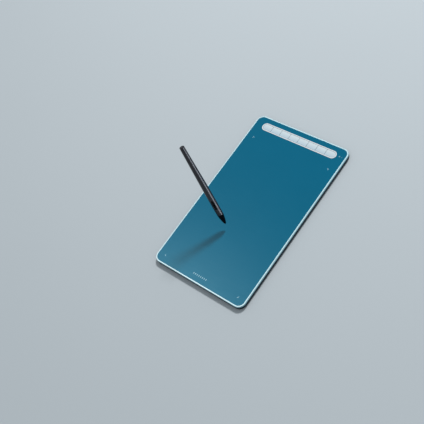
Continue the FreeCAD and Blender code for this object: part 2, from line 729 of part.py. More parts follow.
def make_key_plunger(index):
    """Plunger of the switch under a key. It goes down with the key."""
    body = new_body(f"key_plunger_{index + 1}")
    outline = new_sketch(body, level="plunger_bottom")
    draw_circle(outline, "plunger_diameter")
    pad(outline, "stem_bottom - plunger_bottom")
    body.setExpression("Placement.Base.x", bound("strip_x"))
    body.setExpression("Placement.Base.y", bound(key_y(index)))


def make_key_switches():
    """Bodies of the eight switches, soldered to the controller board."""
    body = new_body("key_switches", group=True)
    outline = new_sketch(body, level=BOARD_TOP)
    for index in range(int(value("key_count"))):
        middle = key_y(index)
        draw_rectangle(
            outline,
            "strip_x - switch_size / 2",
            "strip_x + switch_size / 2",
            f"{middle} - switch_size / 2",
            f"{middle} + switch_size / 2",
        )
        draw_circle(outline, "switch_bore", "strip_x", middle)
    pad(outline, "switch_height")


# ---- electronics ------------------------------------------------------------------------------


def make_controller_board():
    """Board under the key strip, notched for the charging socket."""
    body = new_body("controller_board")
    outline = new_sketch(body, level="board_bottom")
    notch_low = "socket_y - socket_width / 2 - port_gap"
    notch_high = "socket_y + socket_width / 2 + port_gap"
    notch_end = f"{PORT_FACE} + socket_base_start + socket_base_depth + sheet_gap"
    corners = [
        ("board_left", "board_front"),
        ("board_right", "board_front"),
        ("board_right", "board_back"),
        ("board_left + board_corner", "board_back"),
        ("board_left", "board_back - board_corner"),
        ("board_left", notch_high),
        (notch_end, notch_high),
        (notch_end, notch_low),
        ("board_left", notch_low),
    ]
    draw_polygon(outline, corners, curved={3: "board_corner"})
    pad(outline, "board_thickness")


def on_board(label, x, y, length, width, height):
    """A block that stands on the controller board, about a point."""
    low = (f"{x} - {length} / 2", f"{y} - {width} / 2", BOARD_TOP)
    high = (f"{x} + {length} / 2", f"{y} + {width} / 2", f"{BOARD_TOP} + {height}")
    return block(label, low, high, listed=False)


def make_board_parts():
    """Chips, lights and connectors on the controller board."""
    # label, middle along X, middle along Y, length, width, height
    chips = [
        ("pen_signal_chip", -126.0, -12.0, 7.0, 7.0, 0.9),
        ("radio_module", -125.5, 50.0, 8.0, 12.0, 1.4),
        ("memory_chip", -126.0, 8.0, 5.0, 4.0, 0.8),
        ("charging_chip", -143.0, 55.5, 3.0, 3.0, 0.7),
        ("clock_crystal", -125.0, -22.0, 2.5, 3.2, 0.7),
    ]
    group("board_chips", [on_board(*chip) for chip in chips])
    lights = [
        on_board("large_led", "light_x", "large_light_y", 1.6, 0.8, 0.7),
        on_board("small_led", "light_x", "small_light_y", 1.0, 0.6, 0.7),
    ]
    group("indicator_leds", lights)
    connectors = [
        on_board(
            "battery_connector",
            "battery_connector_x",
            "battery_connector_y",
            "battery_connector_length",
            "battery_connector_width",
            "battery_connector_height",
        ),
        on_board(
            "flex_connector",
            "flex_connector_x",
            "flex_y",
            "flex_connector_length",
            "flex_width",
            "flex_connector_height",
        ),
    ]
    pieces.extend(connectors)


def make_light_pipes():
    """Clear rods that carry the indicator lights up to the face."""
    body = new_body("indicator_light_pipes", group=True)
    outline = new_sketch(body, level="light_pipe_bottom")
    draw_circle(outline, "large_light_diameter", "light_x", "large_light_y")
    draw_circle(outline, "small_light_diameter", "light_x", "small_light_y")
    pad(outline, "face_top - light_pipe_bottom")


def make_sensor_stack():
    """Adhesive, sensor board and steel shield, from the top down."""
    back = "sensor_half_width"
    block(
        "adhesive_sheet",
        ("sensor_left", f"-{back}", SENSOR_TOP),
        ("sensor_right", back, PLATE_BOTTOM),
    )
    block(
        "sensor_board",
        ("sensor_left", f"-{back}", "sensor_bottom"),
        ("sensor_right", back, SENSOR_TOP),
    )
    block(
        "shield_plate",
        ("shield_left", f"-{back}", "sensor_bottom - shield_thickness"),
        ("sensor_right", back, "sensor_bottom"),
    )


def make_flex_cable():
    """Ribbon from the underside of the sensor board down to its connector."""
    body = new_body("flex_cable")
    outline = new_sketch(body, "XZ_Plane", "-flex_y - flex_width / 2")
    start = "flex_connector_x + flex_connector_length / 2"
    low = f"({BOARD_TOP} + flex_height)"
    # top and underside of the ribbon, each from the connector to the sensor board
    top = [
        (start, low),
        ("flex_rise_start - flex_thickness", low),
        ("flex_rise_end - flex_thickness", "sensor_bottom"),
        ("flex_end", "sensor_bottom"),
    ]
    underside = [
        (start, f"{low} - flex_thickness"),
        ("flex_rise_start", f"{low} - flex_thickness"),
        ("flex_rise_end", "sensor_bottom - flex_thickness"),
        ("flex_end", "sensor_bottom - flex_thickness"),
    ]
    draw_polygon(outline, underside + top[::-1])
    pad(outline, "flex_width")


def make_battery():
    """Flat cell, the foam over it and its lead."""
    body = new_body("battery_cell")
    outline = new_sketch(body, "XZ_Plane", "-battery_width / 2")
    left = "battery_left"
    right = "battery_left + battery_length"
    top = f"{INNER_FLOOR} + battery_height"
    draw_rectangle(outline, left, right, INNER_FLOOR, top)
    cell = pad(outline, "battery_width")
    round_edges(body, cell, "battery_corner", lambda spot: near(spot.x, left) or near(spot.x, right))
    block(
        "battery_foam",
        (f"{left} + foam_margin", "foam_margin - battery_width / 2", top),
        (f"{right} - foam_margin", "battery_width / 2 - foam_margin", "sensor_bottom - shield_thickness"),
    )
    wires = new_body("battery_lead", group=True)
    connector_face = "(battery_connector_x + battery_connector_length / 2)"
    ends = new_sketch(wires, "YZ_Plane", connector_face)
    for step in (-1, 0, 1):
        y = f"battery_connector_y + {step} * lead_pitch"
        draw_circle(ends, "lead_diameter", y, f"{BOARD_TOP} + battery_connector_height / 2")
    pad(ends, f"{left} - {connector_face}")


def make_charging_socket():
    """Charging socket in the end wall: metal shell, and a tongue on a plastic base."""
    shell = new_body("socket_shell")
    outline = new_sketch(shell, "YZ_Plane", PORT_FACE)
    draw_pill(outline, "socket_width", "socket_tall", "socket_y", "port_height", upright=False)
    draw_pill(
        outline,
        "socket_width - 2 * socket_wall",
        "socket_tall - 2 * socket_wall",
        "socket_y",
        "port_height",
        upright=False,
    )
    pad(outline, "socket_depth")
    tongue = new_body("socket_tongue")
    base = new_sketch(tongue, "YZ_Plane", f"{PORT_FACE} + socket_base_start")
    draw_pill(
        base,
        "socket_width - 2 * socket_wall - sheet_gap",
        "socket_tall - 2 * socket_wall - sheet_gap",
        "socket_y",
        "port_height",
        upright=False,
    )
    pad(base, "socket_base_depth")
    blade = new_sketch(tongue, "YZ_Plane", f"{PORT_FACE} + socket_base_start")
    draw_rectangle(
        blade,
        "socket_y - tongue_width / 2",
        "socket_y + tongue_width / 2",
        "port_height - tongue_thickness / 2",
        "port_height + tongue_thickness / 2",
    )
    pad(blade, "socket_base_start - tongue_setback", backwards=True)


def make_power_button():
    """Power button in the end wall, and the switch that it presses."""
    button = new_body("power_button")
    face = new_sketch(button, "YZ_Plane", PORT_FACE)
    draw_pill(face, "power_length", "power_width", "power_y", "port_height", upright=False)
    cap = pad(face, "power_depth")
    round_edges(button, cap, "key_edge", lambda spot: near(spot.x, PORT_FACE))
    flange = new_sketch(button, "YZ_Plane", f"{PORT_FACE} + power_depth")
    draw_pill(flange, "power_flange", "power_width", "power_y", "port_height", upright=False)
    pad(flange, "power_flange_depth")
    stem_start = f"{PORT_FACE} + power_depth + power_flange_depth"
    stem = new_sketch(button, "YZ_Plane", stem_start)
    draw_circle(stem, "power_stem_diameter", "power_y", "port_height")
    pad(stem, "power_stem")

    plunger = new_body("power_switch_plunger")
    rod = new_sketch(plunger, "YZ_Plane", f"{stem_start} + power_stem")
    draw_circle(rod, "side_plunger_diameter", "power_y", "port_height")
    pad(rod, "side_plunger_length")

    switch = new_body("power_switch")
    front = f"{END_WALL} + side_switch_setback"
    box = new_sketch(switch, "YZ_Plane", front)
    draw_rectangle(
        box,
        "power_y - side_switch_width / 2",
        "power_y + side_switch_width / 2",
        "port_height - side_switch_height / 2",
        "port_height + side_switch_height / 2",
    )
    pad(box, "side_switch_depth")
    bore = new_sketch(switch, "YZ_Plane", front)
    draw_circle(bore, "side_switch_bore", "power_y", "port_height")
    cut(bore, "side_switch_depth - side_switch_back", forwards=True)


# ---- pen --------------------------------------------------------------------------------------


def pen_placement():
    """From the pen's own axes, Z along it from the nib's tip, to where it stands over the tablet."""
    upright = FreeCAD.Vector(0, 0, 1)
    sideways = FreeCAD.Vector(0, 1, 0)
    heading = FreeCAD.Rotation(upright, value("pen_heading"))
    lean = FreeCAD.Rotation(sideways, value("pen_lean"))
    roll = FreeCAD.Rotation(upright, value("pen_roll"))
    tip = FreeCAD.Vector(value("pen_tip_x"), value("pen_tip_y"), value("face_top + pen_hover"))
    return FreeCAD.Placement(tip, heading * lean * roll)


def pen_body(label, group=False):
    """A body that stands with the pen."""
    body = new_body(label, group)
    body.Placement = pen_placement()
    return body


def turned_piece(label, corners, curved=None):
    """A pen piece turned about the pen's axis. Corners are radius and distance from the tip."""
    body = pen_body(label)
    profile = new_sketch(body, "XZ_Plane")
    draw_polygon(profile, corners, curved)
    return body, revolve(profile)


def make_pen_nib():
    """Replaceable nib: a thin rod with a ball end."""
    corners = [("0", "0"), ("nib_radius", "nib_radius"), ("nib_radius", "nib_length"), ("0", "nib_length")]
    turned_piece("pen_nib", corners, curved={0: "nib_radius"})


def make_pen_cone():
    """Front cone: guides the nib, holds the coil and plugs into the barrel."""
    corners = [
        ("nib_radius + nib_fit", "cone_start"),
        ("cone_front_radius", "cone_start"),
        ("cone_end_radius", "cone_end"),
        ("spigot_radius", "cone_end"),
        ("spigot_radius", "spigot_end"),
        ("cone_room_radius", "spigot_end"),
        ("cone_room_radius", "cone_room_start"),
        ("nib_radius + nib_fit", "cone_guide_end"),
    ]
    turned_piece("pen_cone", corners, curved={1: "cone_side_radius"})


def make_pen_barrel():
    """Barrel: straight over the grip, then tapering to the rear, with a slot for the two buttons."""
    slope = "(barrel_radius - tail_radius) / (barrel_end - taper_station)"
    outside = [
        ("barrel_front_radius", "barrel_start"),
        ("barrel_radius", "barrel_start + barrel_front_bevel"),
        ("barrel_radius", "taper_station - taper_blend / 2"),
        (f"barrel_radius - {slope} * taper_blend / 2", "taper_station + taper_blend / 2"),
        ("tail_radius", "barrel_end"),
    ]
    bore = [
        ("tail_radius - barrel_wall", "barrel_end"),
        ("barrel_radius - barrel_wall", "taper_station"),
        ("barrel_radius - barrel_wall", "barrel_start"),
    ]
    body, tube = turned_piece("pen_barrel", outside + bore, curved={2: f"taper_blend / ({slope})"})
    slot = new_sketch(body, "YZ_Plane")
    middle = "button_slot_start + button_slot_length / 2"
    draw_pill(slot, "button_slot_length", "button_slot_width", "0", middle)
    cut(slot, "2 * barrel_radius", forwards=True)


def make_pen_cap():
    """Rear end of the pen: a flat cap with a spigot inside the barrel."""
    corners = [
        ("0", "cap_spigot_start"),
        ("cap_spigot_radius", "cap_spigot_start"),
        ("cap_spigot_radius", "cap_start"),
        ("tail_radius", "cap_start"),
        ("cap_end_radius", "pen_length"),
        ("0", "pen_length"),
    ]
    body, cap = turned_piece("pen_end_cap", corners)
    round_edges(body, cap, "cap_edge", lambda spot: near(spot.z, "pen_length"))


def make_pen_button(label, position):
    """A side button: cap, holding flange and stem. position is 0 for the front one, 1 for the rear one."""
    body = pen_body(label)
    if position == 0:
        start = "button_slot_start + button_gap"
        flange_start = f"{start} - button_flange_reach"
        flange_end = f"{start} + button_length"
    else:
        start = "button_slot_start + button_slot_length - button_gap - button_length"
        flange_start = start
        flange_end = f"{start} + button_length + button_flange_reach"
    flange = new_sketch(body, "YZ_Plane", "button_floor")
    draw_rectangle(flange, "-button_width / 2", "button_width / 2", flange_start, flange_end)
    pad(flange, "button_flange", backwards=True)
    cap = new_sketch(body, "YZ_Plane", "button_floor")
    draw_pill(cap, "button_length", "button_width", "0", f"{start} + button_length / 2")
    top = pad(cap, "button_top - button_floor")
    round_edges(body, top, "button_edge", lambda spot: near(spot.x, "button_top"))
    stem = new_sketch(body, "YZ_Plane", "button_floor - button_flange")
    draw_circle(stem, "button_stem_diameter", "0", f"{start} + button_length / 2")
    pad(stem, "button_floor - button_flange - button_stem_bottom", backwards=True)


def make_pen_switches():
    """Two switches on the pen's board, one under each side button."""
    body = pen_body("pen_switches", group=True)
    outline = new_sketch(body, "YZ_Plane", "pen_board_thickness / 2")
    front = "(button_slot_start + button_gap + button_length / 2)"
    rear = "(button_slot_start + button_slot_length - button_gap - button_length / 2)"
    for middle in (front, rear):
        draw_rectangle(
            outline,
            "-pen_switch_size / 2",
            "pen_switch_size / 2",
            f"{middle} - pen_switch_size / 2",
            f"{middle} + pen_switch_size / 2",
        )
        draw_circle(outline, "pen_switch_bore", "0", middle)
    pad(outline, "pen_switch_height")


def make_pen_board():
    """Long narrow board in the middle of the pen."""
    body = pen_body("pen_circuit_board")
    outline = new_sketch(body, "YZ_Plane", "-pen_board_thickness / 2")
    draw_rectangle(
        outline, "-pen_board_width / 2", "pen_board_width / 2", "pen_board_start", "pen_board_end"
    )
    pad(outline, "pen_board_thickness")


def make_pen_cradle():
    """Half tube that carries the board inside the barrel."""
    body = pen_body("pen_cradle")
    profile = new_sketch(body, "XZ_Plane")
    draw_rectangle(
        profile, "-cradle_radius", "-(cradle_radius - cradle_wall)", "cradle_start", "pen_board_end"
    )
    revolve(profile, 180.0, both_ways=True)


def make_pen_tube(label, inner, outer, start, end):
    """A plain tube on the pen's axis."""
    turned_piece(label, [(inner, start), (outer, start), (outer, end), (inner, end)])


def make_pen_force_sensor():
    """Force sensor behind the nib, with a blind hole for the nib's tail."""
    corners = [
        ("nib_room", "force_start"),
        ("force_radius", "force_start"),
        ("force_radius", "force_end"),
        ("0", "force_end"),
        ("0", "force_bore_end"),
        ("nib_room", "force_bore_end"),
    ]
    turned_piece("pen_force_sensor", corners)


# ---- build ------------------------------------------------------------------------------------

make_clear_cover()
make_drawing_surface()
make_back_shell()
make_feet()
make_case_screws()
make_key_bezel()
for number in range(int(value("key_count"))):
    make_key(number)
    make_key_plunger(number)
make_key_switches()
make_controller_board()
make_board_parts()
make_light_pipes()
make_sensor_stack()
make_flex_cable()
make_battery()
make_charging_socket()
make_power_button()
make_pen_nib()
make_pen_cone()
make_pen_barrel()
make_pen_cap()
make_pen_button("pen_button_front", 0)
make_pen_button("pen_button_rear", 1)
make_pen_switches()
make_pen_board()
make_pen_cradle()
make_pen_tube("pen_ferrite_core", "nib_room", "ferrite_radius", "ferrite_start", "ferrite_end")
make_pen_tube("pen_coil", "ferrite_radius + winding_gap", "coil_radius", "coil_start", "coil_end")
make_pen_force_sensor()
doc.recompute()

for item in doc.Objects:
    if "Invalid" in item.State or "Error" in item.State:
        raise RuntimeError(f"{item.Label} did not build: {item.State}")
for piece in pieces:
    if piece.Shape.isNull() or not piece.Shape.isValid() or not piece.Shape.Solids:
        raise RuntimeError(f"{piece.Label} is not a valid solid")

os.makedirs("parts", exist_ok=True)
for piece in pieces:
    piece.Shape.exportStep(f"parts/{piece.Label}.step")
print(len(pieces), "nodes written")
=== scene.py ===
"""Looks for the pen drawing tablet: its finishes, printed marks, pen and studio."""
import math

import bmesh
import bpy
from bpy.props import FloatProperty, FloatVectorProperty, IntProperty, PointerProperty
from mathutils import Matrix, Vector


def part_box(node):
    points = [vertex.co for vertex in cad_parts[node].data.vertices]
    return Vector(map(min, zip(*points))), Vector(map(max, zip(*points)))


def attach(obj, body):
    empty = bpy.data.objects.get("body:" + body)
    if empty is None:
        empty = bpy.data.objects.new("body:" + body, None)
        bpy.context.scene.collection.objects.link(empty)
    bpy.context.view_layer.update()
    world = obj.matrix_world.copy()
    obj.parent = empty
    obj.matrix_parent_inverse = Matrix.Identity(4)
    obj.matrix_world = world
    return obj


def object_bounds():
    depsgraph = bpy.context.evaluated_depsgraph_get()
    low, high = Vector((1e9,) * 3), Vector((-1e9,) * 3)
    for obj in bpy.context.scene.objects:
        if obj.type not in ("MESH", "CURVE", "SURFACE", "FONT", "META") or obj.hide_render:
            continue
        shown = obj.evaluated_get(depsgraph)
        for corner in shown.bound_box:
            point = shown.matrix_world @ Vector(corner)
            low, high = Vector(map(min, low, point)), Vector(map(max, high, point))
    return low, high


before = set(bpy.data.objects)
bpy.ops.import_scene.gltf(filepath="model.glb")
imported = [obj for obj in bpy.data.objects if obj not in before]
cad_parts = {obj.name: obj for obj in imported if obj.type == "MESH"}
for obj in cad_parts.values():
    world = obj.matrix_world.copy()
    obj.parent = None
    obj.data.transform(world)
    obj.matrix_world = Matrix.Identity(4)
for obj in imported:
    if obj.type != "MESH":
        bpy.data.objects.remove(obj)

CAD_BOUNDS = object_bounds()

bl_info = {
    "name": "Pen Drawing Tablet",
    "version": (1, 0, 0),
    "blender": (4, 5, 0),
    "location": "View3D > Sidebar > Tablet",
    "description": "Finishes, printed marks and studio for a pen drawing tablet",
    "category": "Object",
}

MM = 0.001
KEY_COUNT = sum(name.startswith("key_") and name[4:].isdigit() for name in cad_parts)

NOISE_SPAN = (0.3, 0.7)    # nearly all of a noise texture's values lie between these
EDGE_SAMPLES = 4           # rays that look for an edge nearby
EDGE_REACHED = 0.80        # how far the two normals still agree right on an edge
MID_GREY = 0.5             # what handling wears a moulded edge towards


# ---- settings ---------------------------------------------------------------------------------


def colour_setting(name, description, default):
    """A colour that the user may change."""
    return FloatVectorProperty(
        name=name, description=description, default=default,
        size=3, subtype="COLOR", min=0.0, max=1.0,
    )


def length_setting(name, description, default):
    """A length in metres that the user may change."""
    return FloatProperty(
        name=name, description=description, default=default, min=0.0, unit="LENGTH", precision=5
    )


def power_setting(name, description, default):
    """A lamp's power in watts that the user may change."""
    return FloatProperty(
        name=name, description=description, default=default, min=0.0, unit="POWER"
    )


class TabletColours(bpy.types.PropertyGroup):
    """Colours of the tablet's and the pen's finishes."""

    sheet: colour_setting("Drawing sheet", "Teal film to draw on", (0.001, 0.129, 0.228))
    rim: colour_setting("Rim", "Clear ice-blue plastic of the cover", (0.62, 0.90, 0.96))
    # Partly the clear plastic's own depth, partly painted shade low in the cover's wall.
    rim_depth_and_shade: colour_setting("Rim depth", "Deeper tint low in the cover", (0.035, 0.19, 0.26))
    shell: colour_setting("Back shell", "Dark navy plastic", (0.001, 0.016, 0.030))
    keys: colour_setting("Keys", "Silver plastic of the keys", (0.72, 0.82, 0.86))
    key_ring: colour_setting("Key ring", "Paler ring round the keys", (0.92, 0.95, 0.96))
    marks: colour_setting("Marks", "Pale ink of the printed marks", (0.42, 0.68, 0.78))
    barrel: colour_setting("Pen barrel", "Graphite plastic", (0.011, 0.010, 0.014))
    cone: colour_setting("Pen cone", "Black plastic", (0.003, 0.003, 0.004))


class MarkSizes(bpy.types.PropertyGroup):
    """Sizes of what is printed on the drawing sheet."""

    area_length: length_setting("Area length", "Drawing area along X", 0.254)
    area_width: length_setting("Area width", "Drawing area along Y", 0.1524)
    area_shift: length_setting("Area shift", "Drawing area's offset, away from the keys", 0.0152)
    arm: length_setting("Corner arm", "Length of a corner mark's arm", 0.0026)
    stroke: length_setting("Stroke", "Width of a printed stroke", 0.0006)
    ink: length_setting("Ink", "Height of the ink above the sheet", 0.00003)
    dash_height: length_setting("Dash height", "Length of a dash of the plain mark", 0.0030)
    dash_stroke: length_setting("Dash stroke", "Width of a dash of the plain mark", 0.0013)
    dash_pitch: length_setting("Dash pitch", "From one dash to the next", 0.0036)
    dash_count: IntProperty(
        name="Dashes", description="Dashes in the plain mark", default=8, min=1, max=20
    )
    dash_inset: length_setting("Dash inset", "Case's edge to the plain mark's middle", 0.0130)


class StudioSettings(bpy.types.PropertyGroup):
    """Floor, lights and camera."""

    floor: colour_setting("Floor", "Pale studio floor", (0.55, 0.60, 0.63))
    air: colour_setting("Air", "Soft light from all round", (0.88, 0.95, 1.00))
    air_strength: FloatProperty(
        name="Air strength", description="Strength of the air's light", default=0.40, min=0.0
    )
    key_power: power_setting("Key power", "Lamp that casts the pen's shadow", 70.0)
    key_side: length_setting("Key side", "Side of the square key lamp", 0.40)
    sheen_power: power_setting("Sheen power", "Lamp mirrored in the sheet's plain end", 8.0)
    sheen_side: length_setting("Sheen side", "Side of the square sheen lamp", 0.40)
    stripe_power: power_setting("Stripe power", "Lamp mirrored along the pen", 6.4)
    stripe_width: length_setting("Stripe width", "Short side of the stripe lamp", 0.40)
    stripe_length: length_setting("Stripe length", "Long side of the stripe lamp", 0.60)
    stripe_tint: colour_setting("Stripe tint", "Colour of the stripe lamp", (0.80, 0.88, 1.00))
    lens: FloatProperty(
        name="Lens", description="Camera lens in millimetres", default=63.65, min=1.0, unit="CAMERA"
    )
    camera_place: FloatVectorProperty(
        name="Camera", description="Where the camera stands", default=(0.3437, 0.5889, 1.0025),
        subtype="TRANSLATION", unit="LENGTH",
    )
    camera_turn: FloatVectorProperty(
        name="Camera turn", description="Which way the camera faces", subtype="EULER",
        default=(math.radians(31.051), math.radians(18.211), math.radians(127.300)),
    )


# ---- node building ----------------------------------------------------------------------------


class Finish:
    """One procedural material: a Principled shader and the nodes that feed it."""

    def __init__(self, name, colour, roughness):
        self.material = bpy.data.materials.new(name)
        self.material.use_nodes = True
        self.tree = self.material.node_tree
        self.shader = self.tree.nodes["Principled BSDF"]
        self.colour = tuple(colour)
        self.set("Base Color", (*colour, 1.0))
        self.set("Roughness", roughness)
        self.roughness = roughness
        self.place = self.node("ShaderNodeTexCoord").outputs["Object"]
        self.relief = None

    def set(self, socket, number):
        """Put a plain value on the shader."""
        self.shader.inputs[socket].default_value = number

    def node(self, kind, **values):
        """Add a node. Values whose name is an input's go to that input, others to the node."""
        added = self.tree.nodes.new(kind)
        for name, number in values.items():
            if name in added.inputs:
                target = added.inputs[name]
                if isinstance(number, bpy.types.NodeSocket):
                    self.tree.links.new(number, target)
                else:
                    target.default_value = number
            else:
                setattr(added, name, number)
        return added

    def feed(self, socket, output):
        """Link an output to the shader."""
        self.tree.links.new(output, self.shader.inputs[socket])

    def noise(self, size, detail=2.0, place=None):
        """Noise whose features are about a size in metres."""
        texture = self.node(
            "ShaderNodeTexNoise", Vector=place or self.place, Scale=1.0 / size, Detail=detail
        )
        return texture.outputs["Fac"]

    def between(self, factor, low, high, start=0.0, end=1.0):
        """Map a factor from start..end to low..high."""
        ranged = self.node("ShaderNodeMapRange", Value=factor)
        limits = {"From Min": start, "From Max": end, "To Min": low, "To Max": high}
        for name, number in limits.items():
            ranged.inputs[name].default_value = number
        return ranged.outputs["Result"]

    def mix(self, factor, first, second):
        """A colour between two, each a colour or an output."""
        mixer = self.node("ShaderNodeMix", data_type="RGBA")
        self.tree.links.new(factor, mixer.inputs["Factor"])
        for name, colour in (("A", first), ("B", second)):
            socket = [item for item in mixer.inputs if item.name == name and item.type == "RGBA"][0]
            if isinstance(colour, bpy.types.NodeSocket):
                self.tree.links.new(colour, socket)
            else:
                socket.default_value = (*colour[:3], 1.0)
        return [item for item in mixer.outputs if item.type == "RGBA"][0]

    def stretched(self, x, y, z):
        """The place with each axis scaled, for grain that runs one way."""
        mapping = self.node("ShaderNodeMapping", Vector=self.place)
        mapping.inputs["Scale"].default_value = (x, y, z)
        return mapping.outputs["Vector"]

    def soft_edges(self, radius):
        """Shade crisp edges as if they were rounded, and return how near an edge is."""
        bevel = self.node("ShaderNodeBevel", samples=EDGE_SAMPLES, Radius=radius)
        self.relief = bevel.outputs["Normal"]
        facing = self.node("ShaderNodeNewGeometry").outputs["Normal"]
        agreement = self.node("ShaderNodeVectorMath", operation="DOT_PRODUCT")
        self.tree.links.new(self.relief, agreement.inputs[0])
        self.tree.links.new(facing, agreement.inputs[1])
        return self.between(agreement.outputs["Value"], 1.0, 0.0, EDGE_REACHED, 1.0)

    def bump(self, height, depth):
        """Raise the surface by a height pattern, depth metres at most."""
        relief = self.node("ShaderNodeBump", Height=height, Distance=depth, Strength=1.0)
        if self.relief:
            self.tree.links.new(self.relief, relief.inputs["Normal"])
        self.relief = relief.outputs["Normal"]

    def grain(self, size, depth, detail=2.0):
        """Fine even texture, as a mould or a film has."""
        self.bump(self.noise(size, detail), depth)

    def handled(self, size=0.035, spread=0.07):
        """Roughness that drifts a little, as on a thing that is used."""
        drift = self.noise(size, detail=4.0)
        low, high = self.roughness - spread, self.roughness + spread
        self.feed("Roughness", self.between(drift, low, high, *NOISE_SPAN))

    def tinted(self, size=0.02, shift=0.06):
        """Base colour that varies slightly from place to place."""
        light = [min(part * (1 + shift), 1.0) for part in self.colour]
        dark = [part * (1 - shift) for part in self.colour]
        varied = self.mix(self.noise(size, detail=3.0), dark, light)
        self.feed("Base Color", varied)
        return varied

    def done(self):
        """Join the relief to the shader and return the material."""
        if self.relief:
            self.feed("Normal", self.relief)
        return self.material


def moulded(name, colour, roughness, grain=0.0003, depth=0.00001, edge=0.0001, wear=0.075,
            drift=0.07):
    """Moulded plastic: soft edges a little paler than the rest, mould grain, drifting gloss."""
    finish = Finish(name, colour, roughness)
    near_edge = finish.soft_edges(edge)
    varied = finish.tinted()
    worn = [part + (MID_GREY - part) * wear for part in colour]
    finish.feed("Base Color", finish.mix(near_edge, varied, worn))
    finish.grain(grain, depth)
    finish.handled(spread=drift)
    return finish


def plated(name, colour, roughness, grain_along=(40.0, 1.0, 1.0)):
    """Sheet metal with a fine rolled grain, closest along the axis with the largest number."""
    finish = Finish(name, colour, roughness)
    finish.set("Metallic", 1.0)
    streaks = finish.noise(size=0.0004, detail=3.0, place=finish.stretched(*grain_along))
    finish.bump(streaks, depth=0.000004)
    finish.tinted(size=0.01, shift=0.05)
    finish.feed("Roughness", finish.between(streaks, roughness - 0.06, roughness + 0.10))
    return finish


# ---- finishes of this object ------------------------------------------------------------------


def sheet_film(colours):
    """Matt drawing film: tooth for the nib, faint sweep marks from use, bluish satin sheen."""
    finish = Finish("drawing_film", colours.sheet, roughness=0.38)
    finish.tinted(size=0.05, shift=0.03)
    finish.grain(size=0.00025, depth=0.000012, detail=3.0)
    strokes = finish.noise(size=0.004, detail=4.0, place=finish.stretched(1.0, 0.12, 1.0))
    rubbed, fresh = 0.34, 0.39
    finish.feed("Roughness", finish.between(strokes, rubbed, fresh, *NOISE_SPAN))
    finish.set("Specular IOR Level", 0.27)
    finish.set("Specular Tint", (0.44, 0.88, 1.0, 1.0))
    return finish.done()


def rim_plastic(colours):
    """Clear ice-blue plastic: pale on the bevel, deeper and greener low in the edge, partly the
    plastic's own depth and partly painted shade.
    """
    finish = Finish("ice_blue_clear_plastic", colours.rim, roughness=0.34)
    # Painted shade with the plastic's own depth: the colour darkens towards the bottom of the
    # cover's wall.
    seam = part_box("back_shell")[1].z
    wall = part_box("clear_cover")[1].z - seam
    deep, pale = seam + 0.30 * wall, seam + 0.78 * wall
    height = finish.node("ShaderNodeSeparateXYZ", Vector=finish.place).outputs["Z"]
    tint = finish.mix(finish.between(height, 0.0, 1.0, deep, pale), colours.rim_depth_and_shade, colours.rim)
    haze_colour, most_haze = (0.75, 0.88, 0.92), 0.10
    haze = finish.between(finish.noise(size=0.012, detail=3.0), 0.0, most_haze)
    finish.feed("Base Color", finish.mix(haze, tint, haze_colour))
    finish.soft_edges(radius=0.00015)
    finish.grain(size=0.006, depth=0.00001)
    finish.handled(size=0.02, spread=0.05)
    finish.set("Coat Weight", 0.25)
    finish.set("Coat Roughness", 0.28)
    finish.set("IOR", 1.49)
    return finish.done()


def shell_plastic(colours):
    """Dark navy plastic with a fine eroded texture."""
    finish = moulded(
        "navy_shell_plastic", colours.shell, roughness=0.48,
        grain=0.00035, depth=0.00003, edge=0.0002, wear=0.036,
    )
    finish.set("Specular IOR Level", 0.2)
    return finish.done()


def key_plastic(name, colour, gap_radius, painted_fall):
    """Silver paint under a satin lacquer, with painted shade: darker towards +X, and along the
    gaps.
    """
    finish = Finish(name, colour, roughness=0.34)
    near_gap = finish.soft_edges(gap_radius)
    varied = finish.tinted(size=0.006, shift=0.03)
    span = finish.node("ShaderNodeTexCoord").outputs["Generated"]
    across = finish.node("ShaderNodeSeparateXYZ", Vector=span).outputs["X"]
    # Painted shade: the base colour darkens towards +X, where the dished keys catch less light.
    painted_fall_starts = 0.25
    painted_fall_share = (1.0, 0.75, 0.5)
    deeper = [part * (1 - share * painted_fall) for part, share in zip(colour, painted_fall_share)]
    with_painted_shade = finish.mix(finish.between(across, 0.0, 1.0, painted_fall_starts, 1.0), varied, deeper)
    # Painted shade in the gaps: the colour darkens near every edge of a key and of the ring.
    painted_gap_shade = 0.38
    finish.feed("Base Color", finish.mix(near_gap, with_painted_shade, [part * painted_gap_shade for part in colour]))
    finish.grain(size=0.0005, depth=0.000004)
    finish.handled()
    finish.set("Metallic", 0.10)
    finish.set("Coat Weight", 0.25)
    finish.set("Coat Roughness", 0.25)
    return finish.done()


def mark_ink(colours):
    """Pale screen-printed ink with slightly ragged coverage."""
    finish = Finish("pale_ink", colours.marks, roughness=0.5)
    finish.tinted(size=0.0004, shift=0.10)
    finish.grain(size=0.0002, depth=0.000006)
    return finish.done()


def foot_rubber():
    """Matt black rubber, slightly dusty."""
    finish = Finish("foot_rubber", (0.018, 0.019, 0.021), roughness=0.82)
    dust_colour, most_dust = (0.07, 0.07, 0.072), 0.35
    clumps = finish.noise(size=0.003, detail=5.0)
    dust = finish.between(clumps, 0.0, most_dust, start=0.45, end=0.75)
    finish.feed("Base Color", finish.mix(dust, finish.colour, dust_colour))
    finish.soft_edges(radius=0.0002)
    finish.grain(size=0.0005, depth=0.00004, detail=4.0)
    return finish.done()


def light_lens():
    """Frosted clear resin."""
    finish = Finish("light_lens", (0.20, 0.42, 0.52), roughness=0.3)
    finish.tinted(size=0.0006, shift=0.05)
    finish.grain(size=0.0003, depth=0.000008)
    finish.set("Coat Weight", 0.4)
    finish.set("Coat Roughness", 0.1)
    return finish.done()


